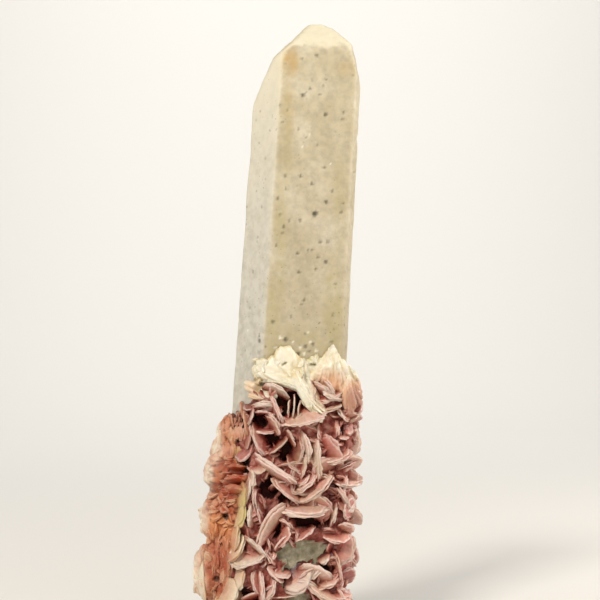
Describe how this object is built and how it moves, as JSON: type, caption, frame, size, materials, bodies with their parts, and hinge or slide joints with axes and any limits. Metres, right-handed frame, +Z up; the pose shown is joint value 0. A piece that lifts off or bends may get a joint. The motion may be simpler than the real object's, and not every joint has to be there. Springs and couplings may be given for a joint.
{
  "type": "frosted quartz crystal",
  "caption": "Long frosted quartz prism standing on a cut foot, its lower half wrapped in a crust of rose-pink crested blades with an iron-stained flank.",
  "frame": {"origin": "middle of the specimen's plan, on the flat cut that it stands on", "axes": "+Z up along the prism's height, -Y the pictured front, +X to the right as seen from the front"},
  "size_m": [0.0422, 0.0298, 0.1539],
  "materials": {
    "frosted_quartz": "milky, frosted, etched faces",
    "pink_blades": "pearly rose blades with paler edges",
    "iron_stained_crust": "cream to rust, dull, iron-stained",
    "cream_blades": "pale cream blades, satin"
  },
  "bodies": {
    "root": {"quartz_crystal": "frosted_quartz", "pink_blade_crust": "pink_blades", "rust_stained_crust": "iron_stained_crust", "cream_blade_fan": "cream_blades"}
  },
  "joints": []
}
